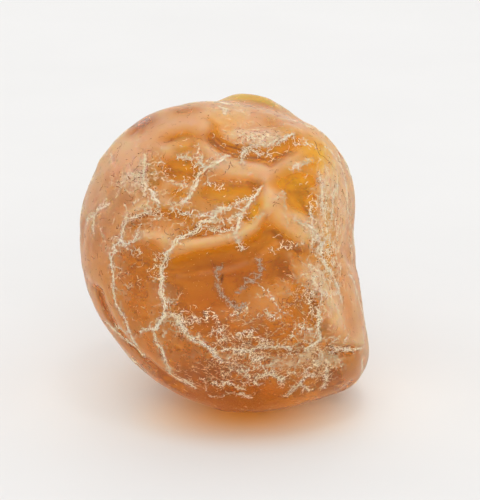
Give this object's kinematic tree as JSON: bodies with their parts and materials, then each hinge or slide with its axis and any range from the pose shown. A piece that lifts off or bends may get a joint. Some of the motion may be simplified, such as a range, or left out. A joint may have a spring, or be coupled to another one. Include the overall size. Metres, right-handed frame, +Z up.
{
  "type": "raw amber piece",
  "caption": "Water-worn nodule of raw amber, rounded and dimpled with a crazed crust, lying on a small worn flat.",
  "frame": {"origin": "middle of the footprint of the whole nodule, at the level of the worn flat it lies on", "axes": "+Z up, +X to the right across the broad face, +Y from the broad face to the back"},
  "size_m": [0.0434, 0.0394, 0.044],
  "materials": {
    "amber": "worn smooth, satin gloss, translucent, with a cream crazed crust"
  },
  "bodies": {
    "root": {"amber_nodule": "amber"}
  },
  "joints": []
}
